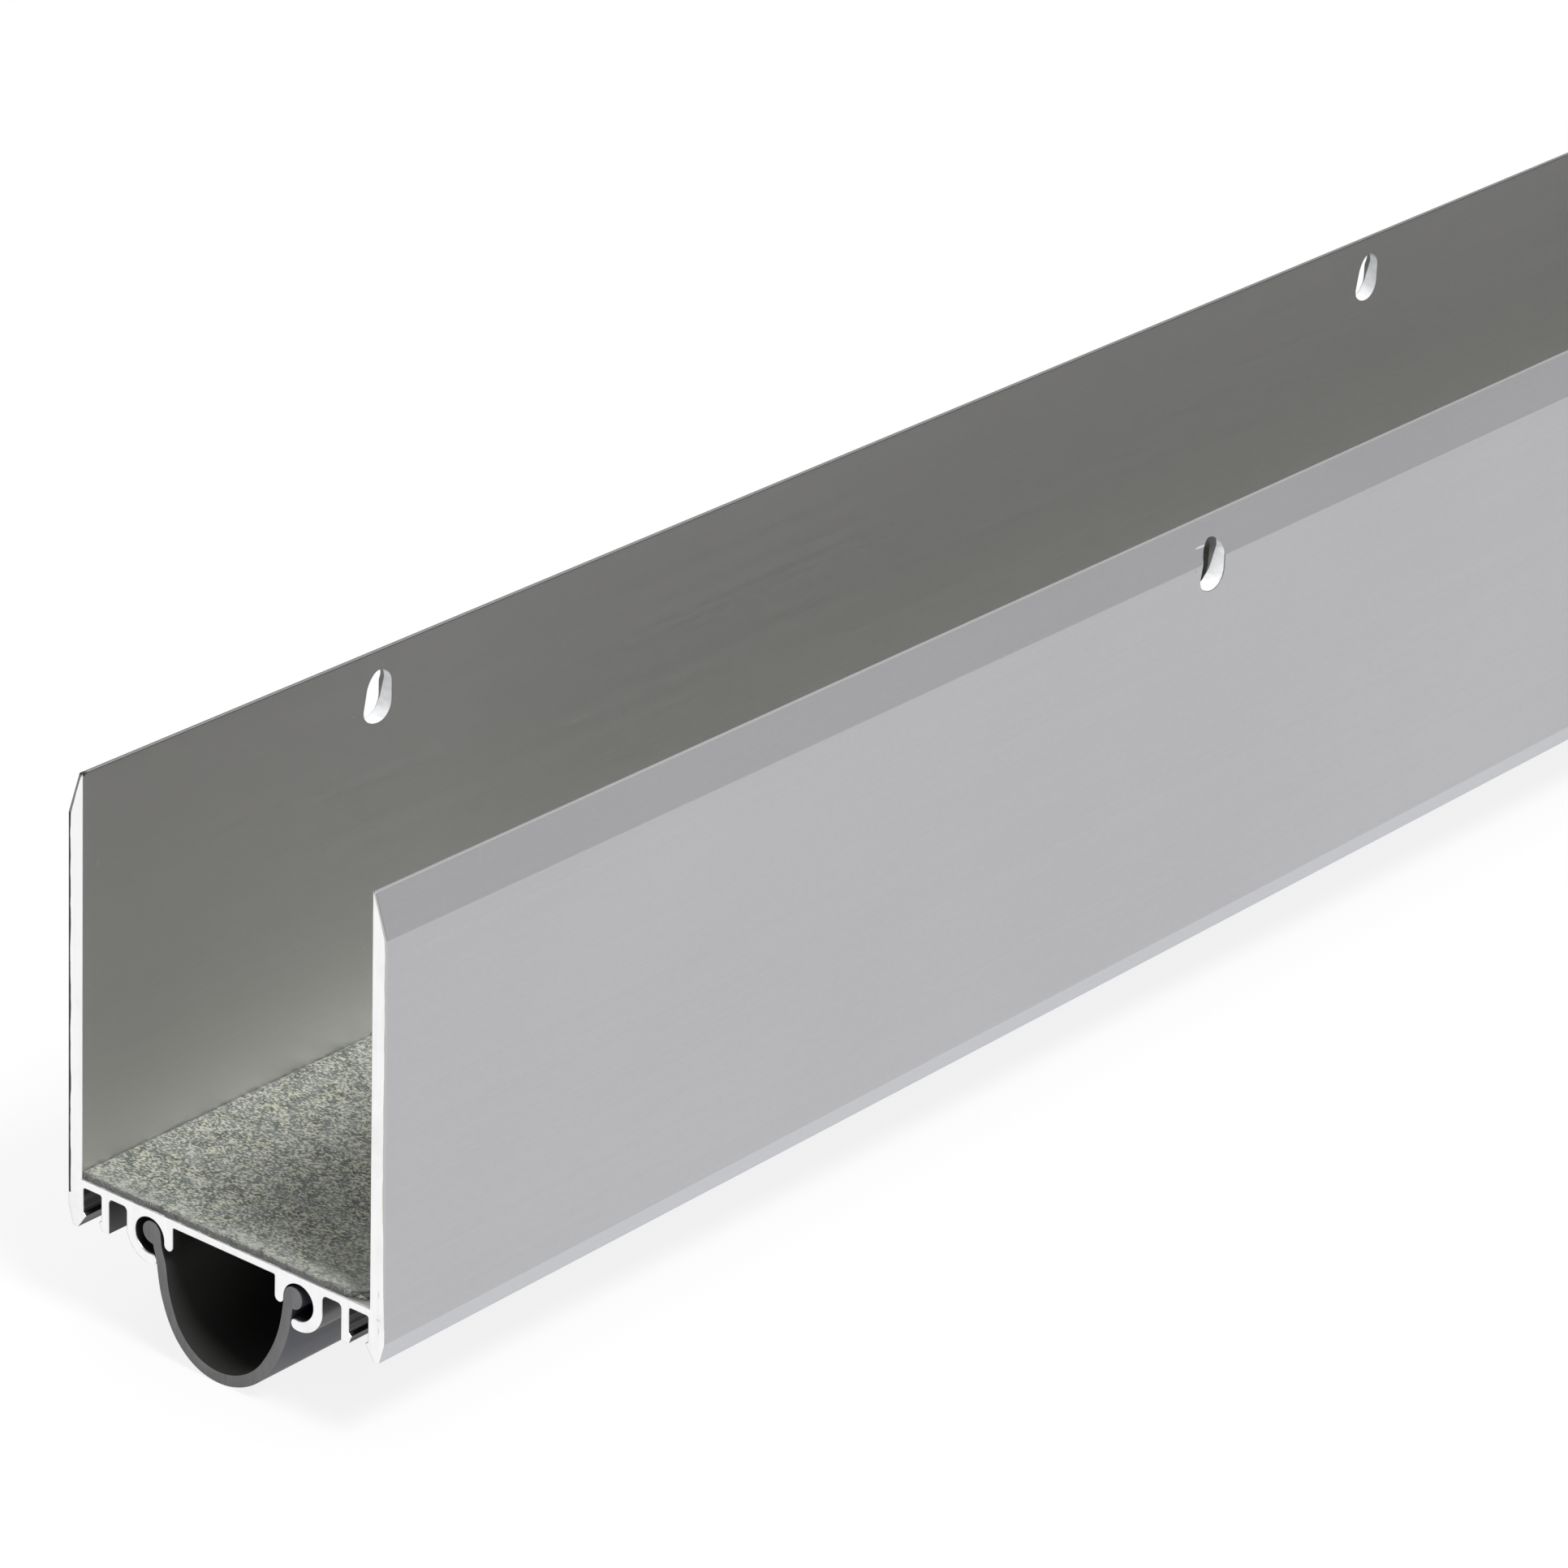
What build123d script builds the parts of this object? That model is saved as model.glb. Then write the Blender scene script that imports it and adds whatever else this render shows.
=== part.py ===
# Screw-in door gap seal: a U-shaped door shoe that wraps the bottom edge of a door.
# An aluminium channel screws to both faces of the door, a vinyl loop hangs from two
# round grooves under its web, and a felt strip lies on the web under the door.
#
# X runs through the door's thickness, Y along the door's bottom edge, Z up. The origin is
# on the felt where the middle of the door's bottom edge stands. Drops and heights below
# are counted from the top of the web, under the felt.
import os
from math import cos, radians, sin

from build123d import *

# The door, and the length that the shoe is sold in.
door_thickness = 44.45
door_clearance = 0.15
length = 914.4

# The two walls lean in towards the door by the toe-in at their tops. Each has a long bevel
# outside at the top that ends in a narrow land, and is a little thicker under the web.
wall = 2.2
wall_height = 51.8
toe_in = 0.4
skirt_extra = 0.2
bevel_height = 5.4
top_land = 0.5

# Below the web each wall ends in a drip tip: bevelled outside, barbed inside.
tip_drop = 6.6
tip_width = 0.7
drip_height = 2.6
drip_depth = 0.75

# The web, and the barbed rib that faces each wall across a pocket.
web = 1.1
pocket = 2.95
pocket_fillet = 0.3
rib = 1.2
rib_drop = 5.7
barb_drop = 4.4
barb_ledge = 0.3
barb_reach = 0.4

# The round groove that holds the vinyl: a bore inside a hook with a rounded lip,
# and an inner leg that ends above the lip, so that the mouth faces the middle.
groove_gap = 2.9
groove_radius = 2.3
hook = 1.4
lip_angle = 8.0
leg = 1.4
leg_drop = 4.4
gap_fillet = 0.6
leg_fillet = 0.25

# The screw slots: upright, so that the shoe can be set to the door's gap.
slot_width = 4.8
slot_height = 7.0
slot_below_top = 6.0
slot_pitch = 203.2
slot_end_margin = 25.4
back_first_slot = 49.6
front_first_slot = 153.0

# The vinyl: one strip bent into a U, with a round bead along each edge.
vinyl = 1.45
bead_radius = 1.4
bead_clearance = 0.06
bead_angle = 160.0
mouth_clearance = 0.06
loop_drop = 18.6
loop_radius = 8.3
loop_half_sweep = 60.0

# The felt, laid against the back wall and short of the front one.
felt = 1.0
felt_back_gap = 0.1
felt_front_gap = 1.1

# Places that follow from the sizes above.
inner_top = (door_thickness + door_clearance) / 2
inner_half = inner_top + toe_in
outer_half = inner_half + wall
outer_lean = toe_in * (wall_height - bevel_height) / wall_height
skirt_inner = inner_half - skirt_extra
rib_outer = skirt_inner - pocket
rib_inner = rib_outer - rib
hook_radius = groove_radius + hook
hook_outer = rib_inner - groove_gap
groove_x = hook_outer - hook_radius
groove_z = -(web + groove_radius)
leg_outer = groove_x - groove_radius
leg_inner = leg_outer - leg
slot_z = wall_height - slot_below_top - felt


def slot_places(first):
    """Y places of one wall's slots: as many as fit with a margin at the far end."""
    count = int((length - first - slot_end_margin) // slot_pitch) + 1
    return [first + number * slot_pitch - length / 2 for number in range(count)]


def polar(centre, radius, angle):
    """The point at an angle in degrees on a circle."""
    return (centre[0] + radius * cos(radians(angle)), centre[1] + radius * sin(radians(angle)))


bore = (groove_x, groove_z)
lip = -90 - lip_angle
lip_middle = polar(bore, groove_radius + hook / 2, lip)
far_end = Plane((0, length / 2, -felt), x_dir=(1, 0, 0), z_dir=(0, -1, 0))
os.makedirs("parts", exist_ok=True)

# The channel: one half of the section is drawn, mirrored and extruded, then the slots
# are punched through both walls.
with BuildPart() as channel:
    with BuildSketch(far_end) as section:
        # wall, from the land at its top round to the drip tip and its barb
        with BuildLine():
            Polyline(
                (inner_half, 0),
                (inner_top, wall_height),
                (inner_top + top_land, wall_height),
                (outer_half - outer_lean, wall_height - bevel_height),
                (outer_half, 0),
                (outer_half, drip_height - tip_drop),
                (outer_half - drip_depth, -tip_drop),
                (outer_half - drip_depth - tip_width, -tip_drop),
                (skirt_inner - barb_reach, -barb_drop - barb_ledge),
                (skirt_inner, -barb_drop),
                (skirt_inner, -web),
                close=True,
            )
        make_face()
        # half of the web
        with Locations((0, -web)):
            Rectangle(inner_half, web, align=(Align.MIN, Align.MIN))
        # rib, with its barb towards the wall
        with BuildLine():
            Polyline(
                (rib_inner, -web),
                (rib_outer, -web),
                (rib_outer, -barb_drop),
                (rib_outer + barb_reach, -barb_drop - barb_ledge),
                (rib_outer, -rib_drop),
                (rib_inner, -rib_drop),
                close=True,
            )
        make_face()
        # hook and inner leg round the groove's bore
        leg_round_z = leg / 2 - leg_drop
        with BuildLine():
            Polyline((leg_inner, leg_round_z), (leg_inner, 0), (hook_outer, 0), (hook_outer, groove_z))
            CenterArc(bore, hook_radius, 0, lip)
            ThreePointArc(
                polar(bore, hook_radius, lip),
                polar(lip_middle, hook / 2, lip - 90),
                polar(bore, groove_radius, lip),
            )
            CenterArc(bore, groove_radius, lip, 180 - lip)
            Line((leg_outer, groove_z), (leg_outer, leg_round_z))
            ThreePointArc(
                (leg_outer, leg_round_z),
                (leg_outer - leg / 2, -leg_drop),
                (leg_inner, leg_round_z),
            )
        make_face()
        mirror(about=Plane.YZ)
        # rounded inside corners under the web
        for corners, radius in (
            ((skirt_inner, rib_outer), pocket_fillet),
            ((rib_inner, hook_outer), gap_fillet),
            ((leg_inner,), leg_fillet),
        ):
            under_web = section.vertices().filter_by_position(Axis.Y, -web - 0.01, -web + 0.01)
            fillet([v for v in under_web if any(abs(abs(v.X) - x) < 0.01 for x in corners)], radius)
    extrude(amount=length)
    for middle, first in (
        (-inner_half - wall / 2, back_first_slot),
        (inner_half + wall / 2, front_first_slot),
    ):
        with BuildSketch(Plane.YZ.offset(middle)):
            with Locations(*[(place, slot_z) for place in slot_places(first)]):
                SlotOverall(slot_height, slot_width, rotation=90)
        extrude(amount=wall, both=True, mode=Mode.SUBTRACT)

# The vinyl: its middle line is a bottom arc, a flatter arc up each side that clears the
# lip of the hook, and a neck that runs up beside the leg into the bead.
bead = polar(bore, groove_radius - bead_radius - bead_clearance, bead_angle)
loop_centre = (0, vinyl / 2 + loop_radius - loop_drop)
side_start = polar(loop_centre, loop_radius, loop_half_sweep - 90)
mouth = (lip_middle[0] - hook / 2 - mouth_clearance - vinyl / 2, lip_middle[1])
neck_top = (bead[0] - bead_radius + vinyl / 2, bead[1])
with BuildPart() as vinyl_insert:
    with BuildSketch(far_end):
        with BuildLine():
            CenterArc(loop_centre, loop_radius, -90, loop_half_sweep)
            side = TangentArc(side_start, mouth, tangent=polar((0, 0), 1, loop_half_sweep))
            TangentArc(mouth, neck_top, tangent=side % 1)
        trace(line_width=vinyl)
        with Locations(bead):
            Circle(bead_radius)
        mirror(about=Plane.YZ)
    extrude(amount=length)

# The felt: a plain strip, face to face on the web.
with BuildPart() as felt_strip:
    with BuildSketch(far_end):
        with Locations((felt_back_gap - inner_half, 0)):
            Rectangle(2 * inner_half - felt_back_gap - felt_front_gap, felt, align=(Align.MIN, Align.MIN))
    extrude(amount=length)

channel.part.label = "channel"
vinyl_insert.part.label = "vinyl_insert"
felt_strip.part.label = "felt_strip"
export_step(channel.part, "parts/channel.step")
export_step(vinyl_insert.part, "parts/vinyl_insert.step")
export_step(felt_strip.part, "parts/felt_strip.step")
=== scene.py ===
# %% [markdown]
# # Dressing a door shoe
#
# The part is a door shoe: a U-shaped aluminium channel that wraps the bottom edge of a door and
# screws to both of its faces. A vinyl loop hangs from two round grooves under the web and
# closes the gap to the threshold, and a felt strip lies on the web, under the door.
#
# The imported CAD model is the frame: it fixes every size and place. Here each of its three
# pieces gets a finer mesh and a finish, in the same place and at the same size. X runs through
# the door's thickness, Y along the shoe and Z up. The near end is the one that the camera sees.

# %% Load the frame and read its sizes
import math
import random

import bpy
from mathutils import Matrix, Vector, noise


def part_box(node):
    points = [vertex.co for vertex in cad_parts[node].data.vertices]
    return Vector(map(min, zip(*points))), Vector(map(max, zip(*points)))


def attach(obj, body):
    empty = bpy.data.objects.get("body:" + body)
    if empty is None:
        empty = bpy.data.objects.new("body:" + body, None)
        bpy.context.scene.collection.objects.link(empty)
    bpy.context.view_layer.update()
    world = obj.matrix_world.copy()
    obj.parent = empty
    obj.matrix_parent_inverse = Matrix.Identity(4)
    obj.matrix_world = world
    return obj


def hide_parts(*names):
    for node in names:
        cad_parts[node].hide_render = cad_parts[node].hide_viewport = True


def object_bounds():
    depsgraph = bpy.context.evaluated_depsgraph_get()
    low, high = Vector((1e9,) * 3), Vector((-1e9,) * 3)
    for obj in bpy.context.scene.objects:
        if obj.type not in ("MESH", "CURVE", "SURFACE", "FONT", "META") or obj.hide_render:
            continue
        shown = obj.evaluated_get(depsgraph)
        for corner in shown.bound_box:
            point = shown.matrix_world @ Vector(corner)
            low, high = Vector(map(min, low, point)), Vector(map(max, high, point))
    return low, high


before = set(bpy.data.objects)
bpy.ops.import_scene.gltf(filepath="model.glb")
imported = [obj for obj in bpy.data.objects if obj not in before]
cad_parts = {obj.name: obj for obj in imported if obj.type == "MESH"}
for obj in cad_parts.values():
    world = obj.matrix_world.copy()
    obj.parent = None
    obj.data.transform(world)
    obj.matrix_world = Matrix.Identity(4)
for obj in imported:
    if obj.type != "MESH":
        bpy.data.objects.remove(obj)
cad_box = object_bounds()

MM = 0.001
weld = 0.001 * MM
shell_low, shell_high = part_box("channel")
felt_low, felt_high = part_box("felt_strip")
vinyl_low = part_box("vinyl_insert")[0]
near_y = shell_low.y
far_y = shell_high.y
length = far_y - near_y
web_top = felt_low.z
width = shell_high.x - shell_low.x
print(f"shoe {length:.4f} m long, {width:.4f} m wide, web top at {web_top:.4f} m")

# %% [markdown]
# ## The camera
#
# A photograph of a long thin thing shows its edges as lines that run towards each other. Those
# lines gave the camera's place: it stands to the right of the near end and above it, a good
# way off, with a long lens. A slight roll tips the frame, as in a picture that was straightened
# by its upright edges. The camera could be aimed by eye instead, but then the slopes of the
# long edges would drift from the photograph's.

# %% Place the camera
camera_place = Vector((486.149, -966.988, 376.975)) * MM
camera_azimuth = math.radians(38.596)
camera_elevation = math.radians(24.3513)
camera_roll = math.radians(2.3406)
sensor_mm = 36.0
focal_mm = 159.634

camera_data = bpy.data.cameras.new("camera")
camera_data.sensor_width = sensor_mm
camera_data.lens = focal_mm
camera_data.clip_start = 0.05
camera_data.clip_end = 60.0
camera = bpy.data.objects.new("camera", camera_data)
bpy.context.scene.collection.objects.link(camera)
camera.matrix_world = (
    Matrix.Translation(camera_place)
    @ Matrix.Rotation(camera_azimuth, 4, "Z")
    @ Matrix.Rotation(math.pi / 2 - camera_elevation, 4, "X")
    @ Matrix.Rotation(camera_roll, 4, "Z")
)
bpy.context.scene.camera = camera
print(f"camera {camera_place.length:.3f} m from the origin, {focal_mm:.1f} mm lens")

# %% [markdown]
# ## A pen made of two tools
#
# An extrusion is one flat outline pushed along a line, so the outline is where the work is. It
# could be pieced together from boxes and tubes with booleans, but arcs that meet at a tangent
# leave slivers there. Here one vertex is the pen: extruding it draws a straight, and spinning
# it round a centre draws an arc. The numbers are millimetres, with heights counted from the
# top of the web.

# %% The pen
def mode(name):
    """Goes into EDIT or OBJECT mode."""
    bpy.ops.object.mode_set(mode=name)


def select_nothing():
    """Back to object mode with nothing selected, so that the next tool acts on its piece alone."""
    if bpy.context.object and bpy.context.object.mode != "OBJECT":
        mode("OBJECT")
    bpy.ops.object.select_all(action="DESELECT")


def pick(piece):
    """Makes this the only selected object, and the active one."""
    select_nothing()
    piece.select_set(True)
    bpy.context.view_layer.objects.active = piece


def edit_all(piece):
    """Goes into edit mode with all of this piece selected."""
    pick(piece)
    mode("EDIT")
    bpy.ops.mesh.select_all(action="SELECT")


def extrude(x, y, z):
    """Extrudes the selection and moves it by this much, in metres."""
    bpy.ops.mesh.extrude_region_move(TRANSFORM_OT_translate={"value": (x, y, z)})


def settle():
    """Puts the object's origin and axes on the frame's, with the mesh where it is."""
    bpy.ops.object.transform_apply(location=True, rotation=True, scale=True)


class Pen:
    """Draws an outline on the plane of the near end with one vertex."""

    def __init__(self, name, x, z):
        select_nothing()
        bpy.ops.mesh.primitive_plane_add(size=MM, location=(x * MM, near_y, web_top + z * MM))
        self.piece = bpy.context.object
        self.piece.name = name
        self.x, self.z = x, z
        edit_all(self.piece)
        bpy.ops.mesh.select_mode(type="VERT")
        bpy.ops.mesh.merge(type="CENTER")

    def line(self, x, z):
        extrude((x - self.x) * MM, 0, (z - self.z) * MM)
        self.x, self.z = x, z

    def arc(self, centre, degrees, steps):
        """Round the centre, counterclockwise for a positive angle, seen from the near end."""
        turn = math.radians(degrees)
        middle = (centre[0] * MM, near_y, web_top + centre[1] * MM)
        bpy.ops.mesh.spin(steps=steps, angle=turn, center=middle, axis=(0, 1, 0))
        dx, dz = self.x - centre[0], self.z - centre[1]
        self.x = centre[0] + dx * math.cos(turn) - dz * math.sin(turn)
        self.z = centre[1] + dx * math.sin(turn) + dz * math.cos(turn)

    def done(self):
        """Leaves edit mode and gives the outline with its object at the origin."""
        mode("OBJECT")
        settle()
        return self.piece


def polar(centre, radius, degrees):
    """The point at an angle on a circle."""
    angle = math.radians(degrees)
    return (centre[0] + radius * math.cos(angle), centre[1] + radius * math.sin(angle))


def apply_modifier(piece, kind, **settings):
    """Adds a modifier, sets it and applies it at once."""
    pick(piece)
    modifier = piece.modifiers.new(kind.lower(), kind)
    for setting, value in settings.items():
        setattr(modifier, setting, value)
    bpy.ops.object.modifier_apply(modifier=modifier.name)


print("the pen is ready")

# %% [markdown]
# ## The channel's section
#
# The die that this aluminium was pushed through has a wall on each side with a long bevel at
# the top, a drip tip with a barb at the bottom, and under the web a barbed rib and a round
# groove with an open mouth. The walls lean in a little towards their tops, so that they grip
# the door. Both halves are alike, so one half is drawn and a Mirror modifier makes the other.
# Small radii are drawn where the die has them, because a metal edge with no radius at all
# never catches the light.

# %% Draw half the section
outer_half = shell_high.x / MM
wall = 2.2
wall_height = (shell_high.z - web_top) / MM
bevel_height = 5.4
top_land = 0.5
land_radius = 0.14
toe_in = 0.4
inner_half = outer_half - wall
inner_top = inner_half - toe_in
skirt_inner = inner_half - 0.2
tip_drop = 6.6
tip_width = 0.7
drip_height = 2.6
drip_depth = 0.75
web = 1.1
rib_outer = 19.55
rib_inner = 18.35
rib_drop = 5.7
barb_drop = 4.4
barb_ledge = 0.3
barb_reach = 0.4
pocket_fillet = 0.3
gap_fillet = 0.6
leg_fillet = 0.25
groove_radius = 2.3
hook = 1.4
hook_outer = 15.45
leg_outer = 9.45
leg_inner = 8.05
leg_drop = 4.4
lip_angle = 98.0

bore = (leg_outer + groove_radius, -web - groove_radius)
lip_middle = polar(bore, groove_radius + hook / 2, -lip_angle)
leg_round = (leg_outer + leg_inner) / 2, (leg_outer - leg_inner) / 2 - leg_drop


def lean(z):
    """How far the walls have leaned in at this height."""
    return toe_in * z / wall_height


def inside_corners(pen, right, left, radius, steps=6):
    """Two rounded corners under the web, from the right-hand face to the left-hand one."""
    pen.line(right, -web - radius)
    pen.arc((right - radius, -web - radius), 90, steps)
    pen.line(left + radius, -web)
    pen.arc((left + radius, -web - radius), 90, steps)


pen = Pen("door_shoe_channel", 0, 0)
pen.line(inner_half, 0)
pen.line(inner_top, wall_height - land_radius)
pen.arc((inner_top + land_radius, wall_height - land_radius), -90, 6)
pen.line(inner_top + top_land - land_radius, wall_height)
pen.arc((inner_top + top_land - land_radius, wall_height - land_radius), -70, 5)
pen.line(outer_half - lean(wall_height - bevel_height), wall_height - bevel_height)
pen.line(outer_half, 0)
pen.line(outer_half, drip_height - tip_drop)
pen.line(outer_half - drip_depth, -tip_drop)
pen.line(outer_half - drip_depth - tip_width, -tip_drop)
pen.line(skirt_inner - barb_reach, -barb_drop - barb_ledge)
pen.line(skirt_inner, -barb_drop)
inside_corners(pen, skirt_inner, rib_outer, pocket_fillet)
pen.line(rib_outer, -barb_drop)
pen.line(rib_outer + barb_reach, -barb_drop - barb_ledge)
pen.line(rib_outer, -rib_drop)
pen.line(rib_inner, -rib_drop)
inside_corners(pen, rib_inner, hook_outer, gap_fillet)
pen.line(hook_outer, bore[1])
pen.arc(bore, -lip_angle, 28)
pen.arc(lip_middle, -180, 16)
pen.arc(bore, lip_angle + 180, 64)
pen.line(leg_outer, leg_round[1])
pen.arc(leg_round, -180, 16)
pen.line(leg_inner, -web - leg_fillet)
pen.arc((leg_inner - leg_fillet, -web - leg_fillet), 90, 6)
pen.line(0, -web)
channel = pen.done()
print(f"half the section has {len(channel.data.vertices)} points")

# %% [markdown]
# ## From the outline to the bar
#
# Mirrored, the outline closes on itself. It is filled with one face and pushed along the whole
# length. A saw leaves a fine edge all round the cut, so both ends get a narrow bevel: without
# it the cut face and the sides meet in a line that no light can pick out.

# %% Mirror, fill and extrude
saw_edge = 0.11


def fill_and_extrude(piece):
    """Fills a closed outline and pushes it along the whole length."""
    edit_all(piece)
    bpy.ops.mesh.remove_doubles(threshold=weld)
    bpy.ops.mesh.edge_face_add()
    extrude(0, length, 0)
    bpy.ops.mesh.select_all(action="SELECT")
    bpy.ops.mesh.normals_make_consistent(inside=False)
    mode("OBJECT")


def select_where(piece, kind, test):
    """Selects the points (VERT) or faces (FACE) that pass the test, and goes into edit mode."""
    edit_all(piece)
    bpy.ops.mesh.select_mode(type=kind)
    bpy.ops.mesh.select_all(action="DESELECT")
    mode("OBJECT")
    for item in piece.data.vertices if kind == "VERT" else piece.data.polygons:
        item.select = test(item)
    mode("EDIT")


def bevel_ends(piece, width):
    """A narrow bevel all round both ends of a bar, its width in millimetres."""
    select_where(piece, "FACE", lambda face: abs(face.normal.y) > 0.9)
    bpy.ops.mesh.region_to_loop()
    bpy.ops.mesh.bevel(offset=width * MM, segments=2, affect="EDGES", clamp_overlap=True)
    mode("OBJECT")


apply_modifier(channel, "MIRROR", use_axis=(True, False, False), merge_threshold=weld)
fill_and_extrude(channel)
bevel_ends(channel, saw_edge)
print(f"the bar has {len(channel.data.polygons)} faces")

# %% [markdown]
# ## The screw slots
#
# Each slot is punched from outside: the skin dips a little round the punch, the upper part of
# the hole is sheared clean, and the lower part tears. So the cutter isn't a plain
# rounded bar. It is a ring, stretched to a slot, extruded through the wall in steps that first
# narrow and then roughen. One cutter is modelled at the front wall and copied, each copy is
# turned to its wall and roughened with a seed of its own, and one boolean cuts them all.
#
# The exact solver left some of the cutters' end faces behind, as closed boxes in the front
# wall's slots. The manifold solver needs closed meshes, which these are, and leaves nothing.
# After it the tiniest edges are welded, and weighted normals let the large flat faces keep their
# own shading, or else a dark fan would spread from every slot.

# %% Model the slot cutter
slot_width = 4.8
slot_height = 7.0
slot_below_top = 6.0
slot_pitch = 203.2
slot_end_margin = 25.4
back_first_slot = 49.6
front_first_slot = 153.0
slot_z = shell_high.z - slot_below_top * MM
slot_face = outer_half - lean(wall_height - slot_below_top)
cutter_sides = 44
# how deep each ring lies below the outer face, and how much wider than the slot it is
cutter_rings = (
    *((-0.5, 0.5), (0.0, 0.02), (0.1, -0.04), (0.4, -0.05)),
    *((0.9, -0.04), (1.4, -0.06), (2.0, -0.10), (2.7, -0.12)),
)

select_nothing()
bpy.ops.mesh.primitive_circle_add(
    vertices=cutter_sides,
    radius=slot_width / 2 * MM,
    location=((slot_face - cutter_rings[0][0]) * MM, 0, slot_z),
    rotation=(0, math.pi / 2, 0),
)
cutter = bpy.context.object
cutter.name = "slot_cutter"
settle()
half_straight = (slot_height - slot_width) / 2 * MM
# the punch has worn on its near side, so its slots lean there
near_lean = 0.2
for vertex in cutter.data.vertices:
    vertex.co.z += half_straight if vertex.co.z > slot_z else -half_straight
    near_share = max(0.0, -vertex.co.y / (slot_width / 2 * MM))
    vertex.co.y += near_lean * near_share * (vertex.co.z - slot_z)
edit_all(cutter)
bpy.ops.mesh.edge_face_add()
wider_before = 0.0
for number, (depth, wider) in enumerate(cutter_rings):
    if number:
        extrude((cutter_rings[number - 1][0] - depth) * MM, 0, 0)
    grow_y = (slot_width + 2 * wider) / (slot_width + 2 * wider_before)
    grow_z = (slot_height + 2 * wider) / (slot_height + 2 * wider_before)
    ring_middle = ((slot_face - depth) * MM, 0, slot_z)
    bpy.ops.transform.resize(value=(1, grow_y, grow_z), center_override=ring_middle)
    wider_before = wider
mode("OBJECT")
print(f"the cutter has {len(cutter_rings)} rings of {cutter_sides} points")


# %% Copy it to every slot
# in the front wall the punch drags the far side of each slot in, more the deeper it goes and
# more at the slot's foot than at its top, and every point of a cutter strays a little
drag_in = 0.45
drag_depth = 1.3
drag_middle, drag_change = 0.65, 0.35
roughen = 0.03


def slot_places(first):
    """Where a wall's slots are along the shoe, in metres."""
    count = int((length / MM - first - slot_end_margin) // slot_pitch) + 1
    return [near_y + (first + number * slot_pitch) * MM for number in range(count)]


def copy_cutter(side, place, seed):
    """A copy with its own mesh, on this side (-1 for the back wall, 1 for the front one)."""
    copy = cutter.copy()
    copy.data = cutter.data.copy()
    bpy.context.scene.collection.objects.link(copy)
    edit_all(copy)
    bpy.ops.transform.resize(value=(side, 1, 1), center_override=(0, 0, slot_z))
    bpy.ops.transform.translate(value=(0, place, 0))
    bpy.ops.transform.vertex_random(offset=roughen * MM, uniform=0.0, normal=0.0, seed=seed)
    bpy.ops.mesh.normals_make_consistent(inside=False)
    mode("OBJECT")
    if side > 0:
        for vertex in copy.data.vertices:
            if vertex.co.y > place:
                below_skin = min(max(0.0, slot_face * MM - vertex.co.x), drag_depth * MM)
                up_slot = (vertex.co.z - slot_z) / (slot_height / 2 * MM)
                vertex.co.y -= drag_in * (drag_middle - drag_change * up_slot) * below_skin
    return copy


slots = [(-1, place) for place in slot_places(back_first_slot)]
slots += [(1, place) for place in slot_places(front_first_slot)]
cutters = [copy_cutter(side, place, seed) for seed, (side, place) in enumerate(slots)]
bpy.data.objects.remove(cutter)
print(f"{len(cutters)} slots to punch")

# %% Punch the slots
slot_weld = 0.002 * MM
sharp_over = math.radians(16)


def join(pieces):
    """Joins the pieces into one, and gives it."""
    pick(pieces[0])
    for piece in pieces:
        piece.select_set(True)
    bpy.ops.object.join()
    return bpy.context.object


punch = join(cutters)
apply_modifier(channel, "BOOLEAN", operation="DIFFERENCE", solver="MANIFOLD", object=punch)
bpy.data.objects.remove(punch)
edit_all(channel)
bpy.ops.mesh.remove_doubles(threshold=slot_weld)
bpy.ops.mesh.dissolve_degenerate(threshold=slot_weld)
mode("OBJECT")
bpy.ops.object.shade_smooth_by_angle(angle=sharp_over)
apply_modifier(channel, "WEIGHTED_NORMAL", keep_sharp=True, weight=80)
print(f"the punched channel has {len(channel.data.polygons)} faces")

# %% [markdown]
# ## The vinyl loop
#
# The vinyl is extruded as one strip with a round bead along each edge, and it is slid into the
# grooves from the end. Hanging free it takes the shape of a narrow U. Its middle line is a
# round bottom, a flatter arc up each side and a neck into the bead. The two faces of the strip
# are the same arcs, half a thickness wider and narrower, so the pen can draw them too.

# %% Work out the loop's arcs
vinyl = 1.45
bead_radius = 1.4
bead_clearance = 0.06
bead_angle = 160.0
mouth_clearance = 0.06
loop_drop = (web_top - vinyl_low.z) / MM
loop_radius = 8.3
loop_half_sweep = 60.0

loop_centre = (0.0, vinyl / 2 + loop_radius - loop_drop)
bead = polar(bore, groove_radius - bead_radius - bead_clearance, bead_angle)
side_start = polar(loop_centre, loop_radius, loop_half_sweep - 90)
mouth = (lip_middle[0] - hook / 2 - mouth_clearance - vinyl / 2, lip_middle[1])
neck_top = (bead[0] - bead_radius + vinyl / 2, bead[1])


def tangent_arc(start, heading, end):
    """Centre and turn in degrees of the arc that leaves start at this heading and meets end."""
    across = (math.cos(math.radians(heading + 90)), math.sin(math.radians(heading + 90)))
    chord = (end[0] - start[0], end[1] - start[1])
    radius = (chord[0] ** 2 + chord[1] ** 2) / (2 * (chord[0] * across[0] + chord[1] * across[1]))
    centre = (start[0] + radius * across[0], start[1] + radius * across[1])
    turn = 2 * (math.degrees(math.atan2(chord[1], chord[0])) - heading)
    return centre, turn


side_centre, side_turn = tangent_arc(side_start, loop_half_sweep, mouth)
neck_heading = loop_half_sweep + side_turn
neck_centre, neck_turn = tangent_arc(mouth, neck_heading, neck_top)
print(f"the side turns {side_turn:.1f} degrees and the neck {neck_turn:.1f}")


# %% Draw the loop
def angle_at(centre, point):
    """The angle in degrees at which a point lies on a circle."""
    return math.degrees(math.atan2(point[1] - centre[1], point[0] - centre[0]))


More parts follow.
